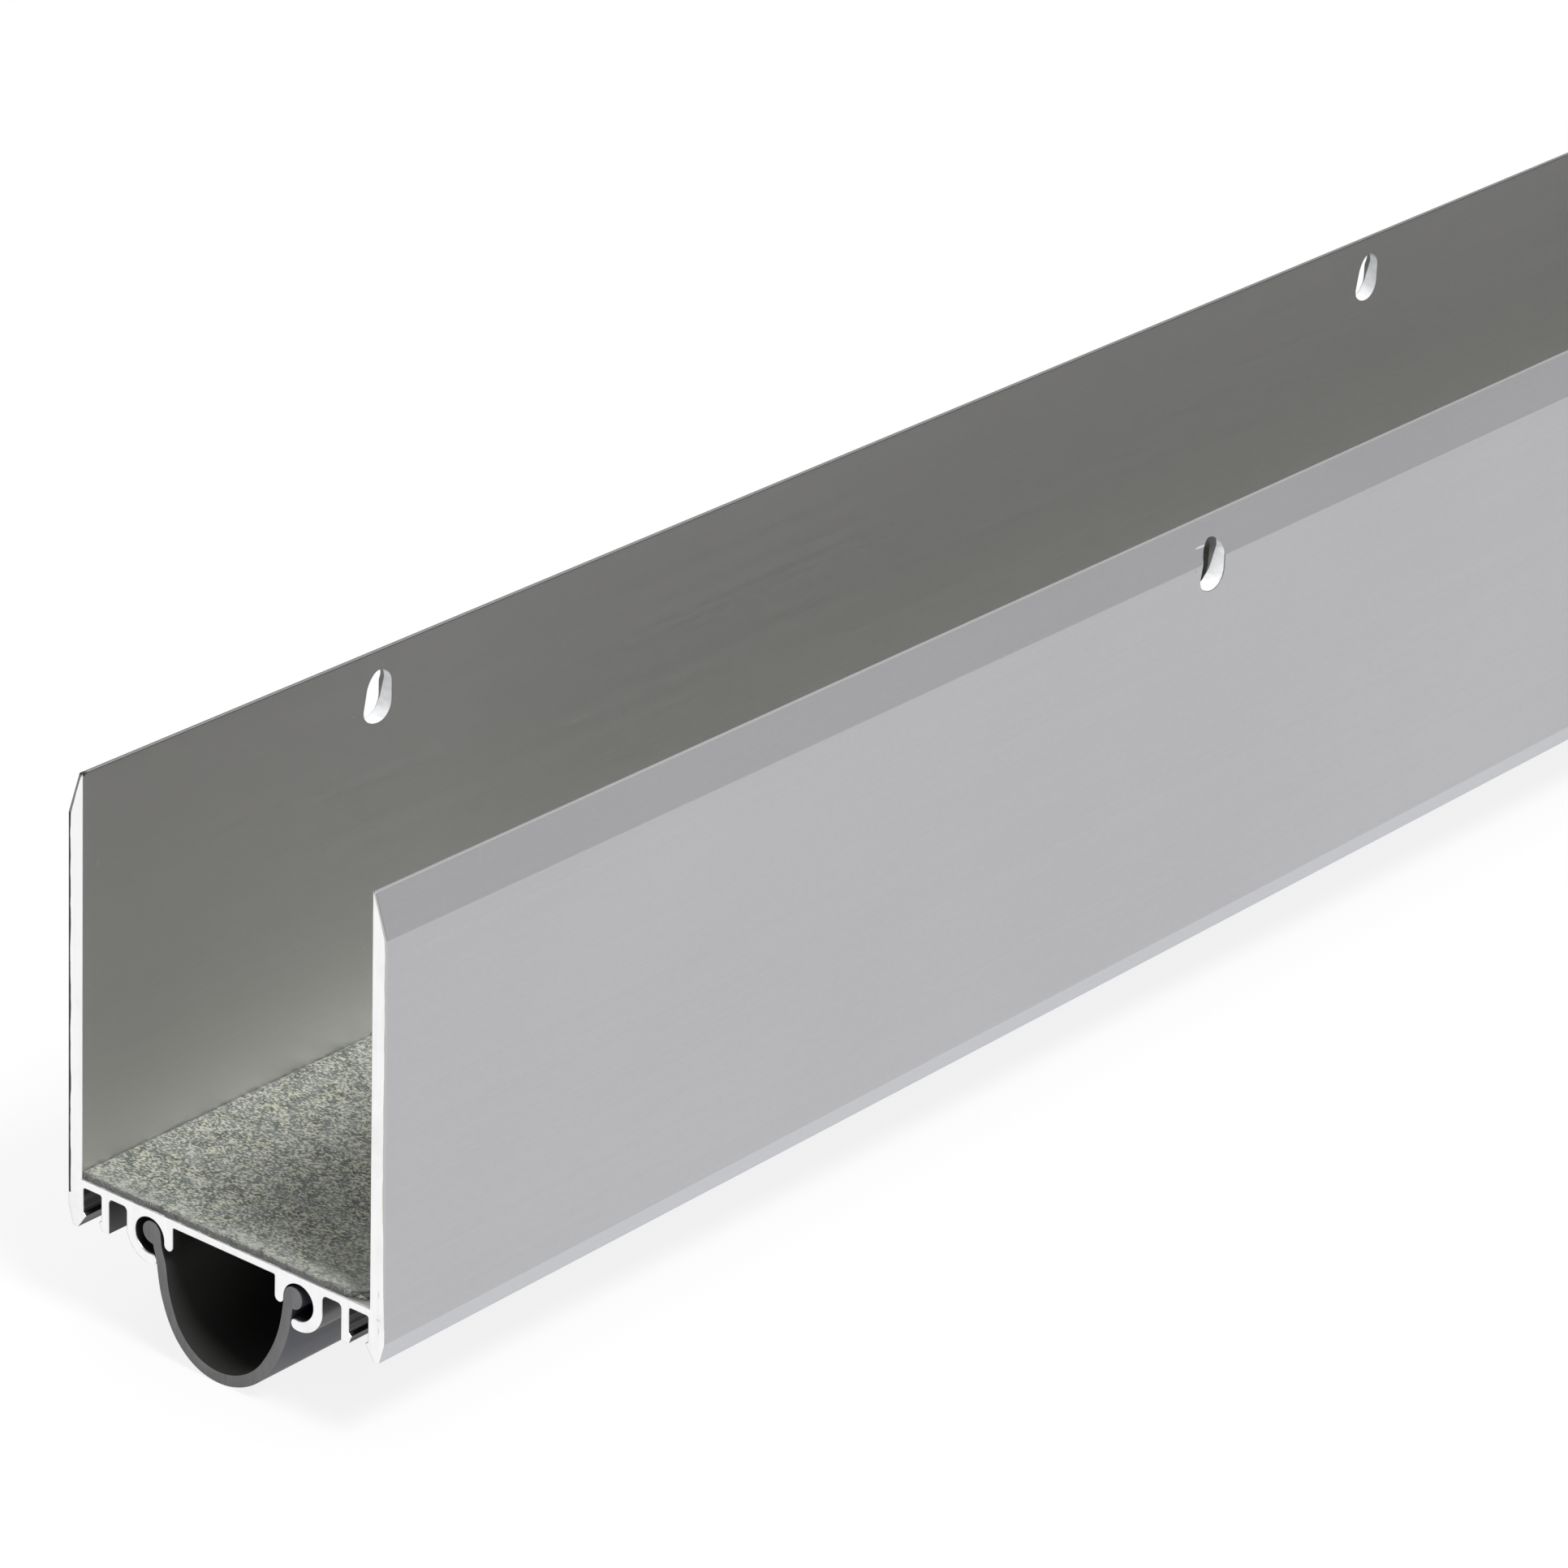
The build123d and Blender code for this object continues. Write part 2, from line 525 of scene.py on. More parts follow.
def circles_cross(first, first_radius, second, second_radius):
    """The lower one of the two points where two circles cross."""
    apart = math.dist(first, second)
    along = (first_radius**2 - second_radius**2 + apart**2) / (2 * apart)
    aside = math.degrees(math.acos(max(-1.0, min(1.0, along / first_radius))))
    toward = angle_at(first, second)
    crossings = [polar(first, first_radius, toward + turn) for turn in (aside, -aside)]
    return min(crossings, key=lambda point: point[1])


pen = Pen("vinyl_loop", 0, -loop_drop)
pen.arc(loop_centre, loop_half_sweep, 26)
pen.arc(side_centre, side_turn, 24)
outer_face = (pen.x, pen.z)
bead_foot = circles_cross(neck_centre, math.dist(neck_centre, outer_face), bead, bead_radius)
neck_left = angle_at(neck_centre, bead_foot) - angle_at(neck_centre, outer_face)
pen.arc(neck_centre, neck_left, 8)
pen.arc(bead, (180 - angle_at(bead, (pen.x, pen.z))) % 360, 44)
pen.line(*polar(neck_top, vinyl / 2, neck_heading + neck_turn + 90))
pen.arc(neck_centre, -neck_turn, 10)
pen.arc(side_centre, -side_turn, 24)
pen.arc(loop_centre, -loop_half_sweep, 26)
loop = pen.done()
apply_modifier(loop, "MIRROR", use_axis=(True, False, False), merge_threshold=weld)
print(f"the loop's outline has {len(loop.data.vertices)} points")

# %% [markdown]
# ## How it hangs
#
# Soft vinyl that was coiled in a box never hangs quite even. Here the loop leans to the left
# and its left bead sits higher in its groove than the right one. Proportional editing does this
# as a hand would: it moves a few points and takes their neighbours along, less and less.


# %% Lean the loop
sheared_edge = 0.05


def pull(test, move, reach):
    """Moves the loop's points that pass the test, and takes the others within reach along."""
    select_where(loop, "VERT", lambda point: test(point.co.x / MM, (point.co.z - web_top) / MM))
    bpy.ops.transform.translate(
        value=(move[0] * MM, 0, move[1] * MM),
        use_proportional_edit=True,
        proportional_edit_falloff="SMOOTH",
        proportional_size=reach * MM,
    )
    mode("OBJECT")


pull(lambda x, z: abs(x) < 2.0 and z < -16, (-0.75, 0.0), 12.5)
pull(lambda x, z: x < 0 and -12.5 < z < -10.5, (-0.28, 0.0), 5.0)
pull(lambda x, z: x < -9 and z > -4.4, (-0.42, 0.26), 2.2)
fill_and_extrude(loop)
bevel_ends(loop, sheared_edge)
pick(loop)
bpy.ops.object.shade_smooth_by_angle(angle=math.radians(28))
print(f"the loop has {len(loop.data.polygons)} faces")

# %% [markdown]
# ## The felt
#
# The felt is a strip cut from a roll of mixed, pressed fibres. A flat box with a noisy colour
# would look like printed paper at its cut edge. So a fine grid is laid on the web, its cells
# smaller near the end that the camera sees, and noise lifts it into low tufts. Solidify
# gives it its thickness, and its cut edge is left a little ragged.

# %% Lay the felt
felt_thickness = felt_high.z - felt_low.z
felt_columns = 76
felt_rows = 430
tuft = 0.22 * MM
# the grain of the tufts and of the ragged cut, and the corner by the front wall, set back
tuft_coarse, tuft_fine = 0.9 * MM, 0.4 * MM
cut_fine, cut_coarse = 0.8 * MM, 3.1 * MM
even_rows = 0.22
corner_back, corner_width = 2.0 * MM, 3.0 * MM

select_nothing()
bpy.ops.mesh.primitive_grid_add(x_subdivisions=felt_columns, y_subdivisions=felt_rows, size=1.0)
felt = bpy.context.object
felt.name = "felt_sheet"
felt_width = felt_high.x - felt_low.x
felt_middle = (felt_high.x + felt_low.x) / 2
for vertex in felt.data.vertices:
    across = felt_middle + vertex.co.x * felt_width
    share = vertex.co.y + 0.5
    along = near_y + length * (even_rows * share + (1 - even_rows) * share * share)
    lift = noise.noise(Vector((across, along * 0.8, 0.3)) / tuft_coarse)
    lift += 0.6 * noise.noise(Vector((across, along, 7.1)) / tuft_fine)
    rag = noise.noise(Vector((across / cut_fine, 3.0, 0)))
    rag += 0.7 * noise.noise(Vector((across / cut_coarse, 9.0, 0)))
    end_pull = max(0.0, 1 - share * 60)
    corner = max(0.0, 1 - (felt_high.x - across) / corner_width) * max(0.0, 1 - share * 25)
    along += (0.22 * max(rag, -0.6) + 0.12) * MM * end_pull + corner_back * corner
    vertex.co = Vector((across, along, felt_high.z - tuft * (0.55 - 0.4 * lift)))
body = felt_thickness - tuft * 0.9
apply_modifier(felt, "SOLIDIFY", thickness=body, offset=-1.0, use_even_offset=False)
# the lower face is flat on the web
for vertex in felt.data.vertices:
    if vertex.co.z <= felt_low.z + 0.45 * felt_thickness:
        vertex.co.z = felt_low.z
pick(felt)
bpy.ops.object.shade_smooth()
print(f"the felt has {len(felt.data.polygons)} faces")

# %% [markdown]
# ## Loose fibres
#
# Felt is never quite closed: fibres stand out of its cut edge and lift here and there from its
# face. Five short hairs are modelled as curves and turned into meshes of a few faces. Copies of
# them, each turned and sized by chance from a fixed seed, are laid along the cut and the side of
# the strip. They are joined to one piece, because nobody handles a fibre by itself.

# %% Model five fibres
random.seed(11)
between = random.uniform
fibre_kinds = 5
fibre_half_length = 0.5 * MM
fibre_radius = 0.022 * MM


def bent(lowest, highest):
    """A bend sideways and up or down for one end of a fibre."""
    return Vector((0, between(-0.4, 0.4), between(lowest, highest))) * MM


fibre_shapes = []
for kind in range(fibre_kinds):
    select_nothing()
    bpy.ops.curve.primitive_bezier_curve_add(radius=fibre_half_length, location=(0, 0, 0))
    fibre = bpy.context.object
    first_point, last_point = fibre.data.splines[0].bezier_points
    first_point.handle_right += bent(0.0, 0.4)
    last_point.handle_left += bent(-0.1, 0.3)
    fibre.data.bevel_depth = fibre_radius
    fibre.data.bevel_resolution = 0
    fibre.data.resolution_u = 3
    bpy.ops.object.convert(target="MESH")
    fibre_shapes.append(bpy.context.object)
print(f"{len(fibre_shapes)} fibres of {len(fibre_shapes[0].data.polygons)} faces")


# %% Scatter the copies
cut_count, side_count, top_count = 330, 90, 420


def lay_fibre(x, y, z, turn, tip, size):
    """One copy of a fibre with its own mesh, at a place in metres."""
    shape = random.choice(fibre_shapes)
    copy = shape.copy()
    copy.data = shape.data.copy()
    copy.matrix_world = (
        Matrix.Translation((x, y, z))
        @ Matrix.Rotation(turn, 4, "Z")
        @ Matrix.Rotation(tip, 4, "Y")
        @ Matrix.Scale(size, 4)
    )
    bpy.context.scene.collection.objects.link(copy)
    return copy


fibre_copies = []
for number in range(cut_count):
    x = between(felt_low.x + 0.3 * MM, felt_high.x - 0.2 * MM)
    z = between(felt_high.z - 0.5 * MM, felt_high.z - 0.04 * MM)
    pose = between(0.9, 2.2), between(-0.5, 0.3), between(0.5, 1.1)
    fibre_copies.append(lay_fibre(x, near_y + 0.25 * MM, z, *pose))
for number in range(side_count):
    y = near_y + 100 * MM * random.random() ** 2
    pose = between(-0.9, 0.9), between(-0.3, 0.3), between(0.5, 1.3)
    fibre_copies.append(lay_fibre(felt_high.x, y, felt_high.z - 0.1 * MM, *pose))
for number in range(top_count):
    x = between(felt_low.x + 0.5 * MM, felt_high.x - 0.5 * MM)
    y = near_y + 0.8 * MM + 160 * MM * random.random() ** 1.6
    pose = between(0, math.tau), between(-0.15, 0.15), between(0.6, 1.5)
    fibre_copies.append(lay_fibre(x, y, felt_high.z - 0.06 * MM, *pose))
for fibre in fibre_shapes:
    bpy.data.objects.remove(fibre)
fibres = join(fibre_copies)
fibres.name = "felt_fibres"
settle()
bpy.ops.object.shade_smooth()
print(f"the fibres have {len(fibres.data.polygons)} faces")

# %% [markdown]
# ## Tools for materials
#
# A material is a tree of nodes. Written out socket by socket it is long, so one helper adds a
# node and fills its inputs, and short ones after it make the nodes that recur. All of them work
# on the tree that was opened last, as the node editor does. An effect that several materials
# need becomes a node group, which is built once and then placed like any node.


# %% Helpers for node trees
def open_tree(opened):
    """Makes this the tree that the other helpers work on."""
    global tree
    tree = opened


def fill_socket(socket, value):
    """Links an input to a socket, or sets it to a value."""
    if isinstance(value, bpy.types.NodeSocket):
        tree.links.new(value, socket)
    else:
        socket.default_value = value


def add(kind, inputs=None, **settings):
    """Adds a node with these settings and inputs."""
    node = tree.nodes.new(kind)
    for setting, value in settings.items():
        setattr(node, setting, value)
    for name, value in (inputs or {}).items():
        fill_socket(node.inputs[name], value)
    return node


def plug(node, **inputs):
    """Fills a node's inputs by name, spaces written as underscores."""
    for label, value in inputs.items():
        fill_socket(node.inputs[label.replace("_", " ")], value)


def calculate(operation, first, second=0.0):
    """A Math node's result."""
    return add("ShaderNodeMath", {0: first, 1: second}, operation=operation).outputs[0]


def times(first, second):
    """The product of two values. Of two masks it is where both hold."""
    return calculate("MULTIPLY", first, second)


def minus(first, second):
    """The first value less the second."""
    return calculate("SUBTRACT", first, second)


def over(value, limit):
    """A mask: 1 where the value is over the limit."""
    return calculate("GREATER_THAN", value, limit)


def under(value, limit):
    """A mask: 1 where the value is under the limit."""
    return calculate("LESS_THAN", value, limit)


def stretch(value, low, high, to_low=0.0, to_high=1.0):
    """A Map Range node's result: value from low..high to the new range, clamped."""
    node = add("ShaderNodeMapRange", {"Value": value, "From Min": low, "From Max": high})
    plug(node, To_Min=to_low, To_Max=to_high)
    return node.outputs["Result"]


def blend(factor, first, second):
    """A colour mixed from two others."""
    inputs = {0: factor, 6: first, 7: second}
    return add("ShaderNodeMix", inputs, data_type="RGBA").outputs[2]


def tinted(colour, mask, strength, other):
    """A colour turned towards another, by at most this strength where the mask is full."""
    return blend(times(mask, strength), colour, other)


def grey(level, warmth=0.0):
    """A grey as a colour, a little warm or cool."""
    return (level * (1 + warmth), level, level * (1 - warmth), 1.0)


def place_on():
    """The place on the piece, in metres from the frame's origin."""
    return add("ShaderNodeTexCoord").outputs["Object"]


def axes(vector):
    """The X, Y and Z of a vector."""
    return add("ShaderNodeSeparateXYZ", {0: vector}).outputs


def mapped(vector, **settings):
    """A place turned or pulled out by a Mapping node."""
    return add("ShaderNodeMapping", {"Vector": vector, **settings}).outputs[0]


def cloud(vector, scale, detail=2.0):
    """A Noise Texture's value."""
    inputs = {"Vector": vector, "Scale": scale, "Detail": detail}
    return add("ShaderNodeTexNoise", inputs).outputs[0]


def bumped(height, strength, distance):
    """The normal that a bump gives."""
    inputs = {"Strength": strength, "Distance": distance, "Height": height}
    return add("ShaderNodeBump", inputs).outputs[0]


def new_group(name, inputs, outputs):
    """Opens an empty node group, and gives it, its input values and its output node."""
    group = bpy.data.node_groups.new(name, "ShaderNodeTree")
    open_tree(group)
    for label, value in inputs.items():
        kind = "NodeSocketVector" if isinstance(value, tuple) else "NodeSocketFloat"
        socket = group.interface.new_socket(name=label, in_out="INPUT", socket_type=kind)
        socket.default_value = value
    for label in outputs:
        group.interface.new_socket(name=label, in_out="OUTPUT", socket_type="NodeSocketFloat")
    return group, add("NodeGroupInput").outputs, add("NodeGroupOutput")


def place_group(group, **inputs):
    """Places a group, fills its inputs by name, and gives its outputs."""
    node = add("ShaderNodeGroup", node_tree=group)
    plug(node, **inputs)
    return node.outputs


def new_material(name):
    """Opens a new material's tree, and gives the material and its Principled BSDF."""
    material = bpy.data.materials.new(name)
    material.use_nodes = True
    open_tree(material.node_tree)
    return material, tree.nodes["Principled BSDF"]


print("helpers ready")

# %% [markdown]
# ## Effects that several materials share
#
# Die lines are the faint streaks that an extrusion die leaves all along a bar, in aluminium and
# in vinyl alike: noise whose pattern is pulled out along Y. Handling is the slow mottle and the
# few specks of dust that any stored bar carries. Saw strokes are the marks of the blade on a
# cut face. Place in the wall says how deep a point lies below a wall's outer face, how high
# above the web, and how far below the skin where the bevel counts as skin too. A nick is one
# small scratch at a chosen place.

# %% Group: die lines
die_lines, given, way_out = new_group("die_lines", {"Fineness": 2600.0}, ["Lines", "Grain"])
place = place_on()
fineness = given["Fineness"]
streaks = cloud(mapped(place, Scale=(1.0, 0.004, 1.0)), fineness, 3.0)
grain = cloud(mapped(place, Scale=(1.0, 0.35, 1.0)), fineness)
plug(way_out, Lines=streaks, Grain=grain)
print("die lines")

# %% Group: handling
handling_inputs = {"Mottle Scale": 16.0, "Speck Size": 0.014}
handling, given, way_out = new_group("handling", handling_inputs, ["Mottle", "Specks"])
place = place_on()
mottle = cloud(place, given["Mottle Scale"], 3.0)
cells = add("ShaderNodeTexVoronoi", {"Vector": place, "Scale": 48.0})
cell_choice = add("ShaderNodeSeparateColor", {"Color": cells.outputs["Color"]})
speck_edge = times(given["Speck Size"], cloud(place, 1800.0))
speck_core = under(cells.outputs["Distance"], speck_edge)
specks = times(speck_core, over(cell_choice.outputs[0], 0.62))
plug(way_out, Mottle=mottle, Specks=specks)
print("handling")

# %% Group: saw strokes
blade_angle = math.radians(24)
saw_inputs = {"Fineness": 2400.0}
saw_strokes, given, way_out = new_group("saw_strokes", saw_inputs, ["Strokes", "Chatter"])
place = place_on()
pulled = mapped(place, Rotation=(0, blade_angle, 0), Scale=(1.0, 1.0, 0.07))
strokes = cloud(pulled, given["Fineness"], 3.0)
plug(way_out, Strokes=strokes, Chatter=cloud(place, 240.0, 4.0))
print("saw strokes")

# %% Group: place in the wall
wall_outputs = ["Depth", "Height", "Skin Distance"]
wall_place, _, way_out = new_group("wall_place", {}, wall_outputs)
parts = axes(place_on())
height = minus(parts["Z"], web_top)
up_wall = calculate("MAXIMUM", height, 0.0)
leaned = times(up_wall, toe_in / wall_height)
from_middle = calculate("ADD", calculate("ABSOLUTE", parts["X"]), leaned)
depth = minus(outer_half * MM, from_middle)
bevel_width = outer_half - lean(wall_height - bevel_height) - inner_top - top_land
bevel_slope = math.hypot(bevel_width, bevel_height)
above_bevel_foot = minus(height, (wall_height - bevel_height) * MM)
up_bevel = times(above_bevel_foot, bevel_width / bevel_slope)
in_bevel = times(depth, bevel_height / bevel_slope)
off_bevel = minus(in_bevel, up_bevel)
skin_distance = calculate("MINIMUM", depth, off_bevel)
plug(way_out, Depth=depth, Height=height, Skin_Distance=skin_distance)
print("place in the wall")

# %% Group: a nick
nick_inputs = {"Place": (0.0, 0.0, 0.0), "Length": 0.001, "Width": 0.0003, "Tilt": (0.0, 0.0, 0.0)}
nick_depth = 3.0 * MM
nick, given, way_out = new_group("nick", nick_inputs, ["Nick"])
place = place_on()
ends = {0: place, 1: given["Place"]}
offset = add("ShaderNodeVectorMath", ends, operation="SUBTRACT").outputs[0]
tilt = {"Vector": offset, "Rotation": given["Tilt"]}
parts = axes(add("ShaderNodeVectorRotate", tilt, rotation_type="EULER_XYZ").outputs[0])
along = calculate("DIVIDE", parts["Y"], given["Length"])
across = calculate("DIVIDE", parts["Z"], given["Width"])
off_face = calculate("DIVIDE", parts["X"], nick_depth)
shares = add("ShaderNodeCombineXYZ", {0: along, 1: across, 2: off_face}).outputs[0]
reach = add("ShaderNodeVectorMath", {0: shares}, operation="LENGTH").outputs["Value"]
ragged = minus(cloud(place, 5200.0), 0.5)
reach = calculate("ADD", reach, times(ragged, 1.6))
plug(way_out, Nick=stretch(reach, 1.0, 0.55))


def nicked(colour, place, half_sizes, strength, level, tilt=(0.0, 0.0, 0.0)):
    """A colour with one nick in it. The place and the half sizes are in millimetres."""
    place = tuple(coordinate * MM for coordinate in place)
    long, wide = (half * MM for half in half_sizes)
    mark = place_group(nick, Place=place, Length=long, Width=wide, Tilt=tilt)
    return tinted(colour, mark["Nick"], strength, grey(level))


print("nick")

# %% [markdown]
# ## Anodised aluminium
#
# Satin anodising leaves a matte, even grey that has no mirror in it but still brightens and
# darkens with what it faces. A plain metallic shader of middling roughness does that. The die
# lines and the grain only just show, in the roughness and a very low bump, and a few specks
# and nicks keep the large plain faces from looking computed.
#
# The walls' inner faces mirror each other many times over, so their colour is set apart, by place,
# with light and shade painted into it: a base far paler than the outside's as painted light,
# brighter along the shoe, and painted shade at the ends, towards the top and at the foot. Painted
# shade darkens the grooves below the web, the drip tips carry a painted highlight and the back
# wall's land carries painted shade.

# %% Anodised aluminium
anodised, shader = new_material("satin_anodised")
lines = place_group(die_lines, Fineness=2600.0)
marks = place_group(handling)
where = place_group(wall_place)
depth, height = where["Depth"], where["Height"]
parts = axes(place_on())
from_centre = calculate("ABSOLUTE", parts["Y"])
streaky = stretch(lines["Lines"], 0.35, 0.65)
fine = stretch(lines["Grain"], 0.3, 0.7)
tone = stretch(marks["Mottle"], 0.3, 0.7)
colour = blend(tone, (0.512, 0.512, 0.530, 1), (0.532, 0.533, 0.547, 1))

# the inner faces: a far paler base as painted light, and painted shade at the ends, towards the
# top and at the foot
past_middle = stretch(depth, 1.95 * MM, 2.15 * MM)
inside = times(past_middle, over(height, -0.5 * MM))
near_the_end = stretch(from_centre, far_y - 170 * MM, far_y - 100 * MM)
# painted light: a base far paler than the outside's, for the faces that mirror each other
inner_light_and_shade = blend(near_the_end, (0.918, 0.909, 0.913, 1), (0.935, 0.926, 0.930, 1))
# painted shade within 60 mm of each end
painted_end_shade = stretch(from_centre, far_y - 60 * MM, far_y - 2 * MM)
inner_light_and_shade = blend(painted_end_shade, inner_light_and_shade, (0.735, 0.727, 0.725, 1))
# painted shade towards the top of the inner faces
top_shade_level = stretch(painted_end_shade, 0, 1, 0.085, 0.10)
painted_top_shade = times(stretch(height, 26 * MM, 46 * MM), top_shade_level)
inner_light_and_shade = blend(painted_top_shade, inner_light_and_shade, grey(0.0))
# painted shade at the foot, away from the ends
off_the_end = stretch(from_centre, far_y - 60 * MM, far_y - 120 * MM)
painted_foot_shade = times(stretch(height, 18.2 * MM, 15 * MM), off_the_end)
inner_light_and_shade = tinted(inner_light_and_shade, painted_foot_shade, 0.9, grey(0.03))
colour = blend(inside, colour, inner_light_and_shade)

# the drip tips, painted paler as a highlight, then the die lines and the grain over all of it
outside = stretch(depth, 1.3 * MM, 1.5 * MM, 1.0, 0.0)
drip_highlight = times(outside, under(height, (drip_height - tip_drop + 0.02) * MM))
colour = blend(drip_highlight, colour, (0.590, 0.595, 0.620, 1))
colour = tinted(colour, streaky, 0.035, grey(0.45))
colour = tinted(colour, fine, 0.08, grey(0.70))

# painted shade below the web: pockets beside the walls, gaps beside the ribs, bores of the grooves
past_skin = stretch(depth, 1.2 * MM, 1.6 * MM)
recess = times(past_skin, under(height, (0.02 - web) * MM))
in_gap = calculate("COMPARE", depth, (outer_half - (hook_outer + rib_inner) / 2) * MM)
in_gap.node.inputs[2].default_value = 1.6 * MM
gap_shade = blend(stretch(height, -6.0 * MM, -2.0 * MM), grey(0.22), grey(0.10, 0.03))
in_pocket = under(depth, (outer_half - rib_outer + 0.05) * MM)
marked = times(in_pocket, stretch(streaky, 0.55, 0.95))
in_bore = over(depth, (outer_half - hook_outer + 0.05) * MM)
recess_shade = blend(marked, grey(0.085, 0.03), grey(0.22))
recess_shade = blend(in_bore, recess_shade, grey(0.15, 0.04))
recess_shade = blend(in_gap, recess_shade, gap_shade)
colour = blend(recess, colour, recess_shade)

# specks, painted shade on the back wall's land, and scratches
colour = tinted(colour, marks["Specks"], 0.7, grey(0.95, 0.01))
# painted shade: the back wall's land is darker than the front wall's
painted_land_shade = times(over(height, (wall_height - 0.2) * MM), under(parts["X"], 0.0))
colour = tinted(colour, painted_land_shade, 0.9, grey(0.33))
# place, half sizes along and up the wall, strength and grey of each scratch
wall_nicks = (
    ((23.8, -306.1, 47.56), (1.50, 0.17), 0.9, 1.0),
    ((24.5, -308.0, 44.87), (0.09, 0.26), 0.6, 0.2),
    ((-22.5, -457.1, 50.8), (0.75, 0.45), 0.95, 0.05),
    ((-22.4, -411.9, 43.44), (0.36, 0.15), 0.6, 1.0),
    ((-22.3, -407.0, 48.82), (0.20, 0.18), 0.5, 1.0),
    ((-22.6, -409.6, 13.1), (0.16, 0.34), 0.6, 1.0),
    ((-22.6, -409.3, 12.0), (0.16, 0.38), 0.7, 1.0),
    ((-22.6, -409.0, 12.2), (0.36, 0.11), 0.5, 1.0),
    ((-22.4, -454.6, 38.7), (0.13, 0.52), 0.4, 1.0),
)
for wall_nick in wall_nicks:
    colour = nicked(colour, *wall_nick)
dull_streaks = stretch(streaky, 0, 1, 0.49, 0.52)
roughness = calculate("ADD", dull_streaks, stretch(inside, 0, 1, 0.02, -0.04))
ripples = calculate("ADD", times(streaky, 0.4), fine)
bump = bumped(ripples, 0.05, 0.03 * MM)
plug(shader, Base_Color=colour, Metallic=1.0, Roughness=roughness, Normal=bump)
print(anodised.name)

# %% [markdown]
# ## Sawn and punched aluminium
#
# The saw cuts through the anodised skin to bare metal, which is much brighter. It shows faint
# strokes of the blade, and where the blade leaves the metal it leaves a thin burr over the outer
# edge of each wall, whose shade is painted on: dark on the back wall, paler on its bevel, and
# lighter on the front wall, which faces the light. The painted burr is masked by place: within a
# fraction of a millimetre of the wall's skin, which leans in as it goes up and turns in at the
# bevel. The slots are bare and nearly white too, with painted shade in their upper ends.

# %% Sawn aluminium
sawn, shader = new_material("sawn_aluminium")
strokes = place_group(saw_strokes)
where = place_group(wall_place)
height = where["Height"]
place = place_on()
back_side = under(axes(place)["X"], 0.0)
bare = stretch(strokes["Strokes"], 0.35, 0.65)
colour = blend(bare, grey(0.975, -0.004), grey(0.94, 0.003))
chatter = stretch(strokes["Chatter"], 0.52, 0.72, 0.0, 0.5)
colour = blend(chatter, colour, grey(0.82))

# painted shade: the rounded rim of the cut is darkened where it turns to the left or down, so that
# it outlines the cut
rim = axes(add("ShaderNodeNewGeometry").outputs["True Normal"])
rim_turned = calculate("ADD", rim["X"], times(rim["Z"], 0.6))
colour = blend(stretch(rim_turned, -0.2, -0.45), colour, grey(0.10))

# the burr's painted shade: the front wall's is lighter and thins out towards its foot, and the
# back wall's is heavier and dark
front_share = stretch(height, -2.4 * MM, 14 * MM)
burr_shade_share = calculate("MAXIMUM", front_share, times(back_side, 1.25))
wander = stretch(cloud(place, 260.0, 3.0), 0.3, 0.7, 0.24 * MM, 0.38 * MM)
burr_shade_mask = under(where["Skin Distance"], times(wander, burr_shade_share))
burr_shade_mask = times(burr_shade_mask, over(height, -2.4 * MM))
on_bevel = over(height, (wall_height - bevel_height) * MM)
burr_shade_colour = blend(on_bevel, grey(0.07), grey(0.21))
burr_shade_colour = blend(back_side, grey(0.52, 0.015), burr_shade_colour)
colour = blend(burr_shade_mask, colour, burr_shade_colour)
# the same kind of list for the cut, with half sizes across and up
cut_nicks = (
    ((24.05, 1.2), (0.16, 0.60), 0.25, 0.25),
    ((24.05, -2.0), (0.34, 0.20), 0.25, 0.30),
    ((24.10, -3.4), (0.12, 0.50), 0.3, 0.25),
    ((22.30, -5.5), (0.14, 0.14), 1.0, 0.03),
    ((-22.5, 50.8), (0.50, 0.40), 0.9, 0.05),
)
quarter_turn = (0, 0, math.pi / 2)
for (x, z), half_sizes, strength, level in cut_nicks:
    at_cut = (x, near_y / MM, z)
    colour = nicked(colour, at_cut, half_sizes, strength, level, tilt=quarter_turn)
bump = bumped(strokes["Strokes"], 0.10, 0.04 * MM)
plug(shader, Base_Color=colour, Metallic=1.0, Roughness=0.33, Normal=bump)
print(sawn.name)

# %% Punched aluminium
punched, shader = new_material("punched_aluminium")
place = place_on()
drag = cloud(mapped(place, Scale=(0.35, 1.0, 1.0)), 1500.0)
where = place_group(wall_place)
depth = where["Depth"]
from_slot = minus(where["Height"], slot_z - web_top)
colour = blend(stretch(drag, 0.35, 0.7), grey(0.98, -0.01), grey(0.88, -0.015))
# painted shade in the upper end of each slot, which faces down
upper_end_shade = stretch(from_slot, 2.2 * MM, 3.3 * MM, 0.0, 0.8)
colour = blend(upper_end_shade, colour, grey(0.16, -0.02))
# a dark wedge that widens upwards lies deep in the front wall's slots and shallow in the back
# wall's, and every slot has a thin dark line along its outer rim
back_side = under(axes(place)["X"], 0.0)
behind = blend(back_side, minus(wall * MM, depth), depth)
wedge_width = stretch(from_slot, -2.6 * MM, 3.2 * MM, 0.0, 1.3 * MM)
dark_wedge = under(behind, wedge_width)
wedge_and_rim = calculate("MAXIMUM", dark_wedge, under(depth, 0.12 * MM))
colour = tinted(colour, wedge_and_rim, 0.85, grey(0.07, 0.02))
bump = bumped(drag, 0.5, 0.2 * MM)
plug(shader, Base_Color=colour, Metallic=0.15, Roughness=0.5, Normal=bump)
print(punched.name)

# %% Give each face of the channel its finish
def finish_with(piece, *materials):
    """Gives a piece its materials, in this order."""
    piece.data.materials.clear()
    for material in materials:
        piece.data.materials.append(material)


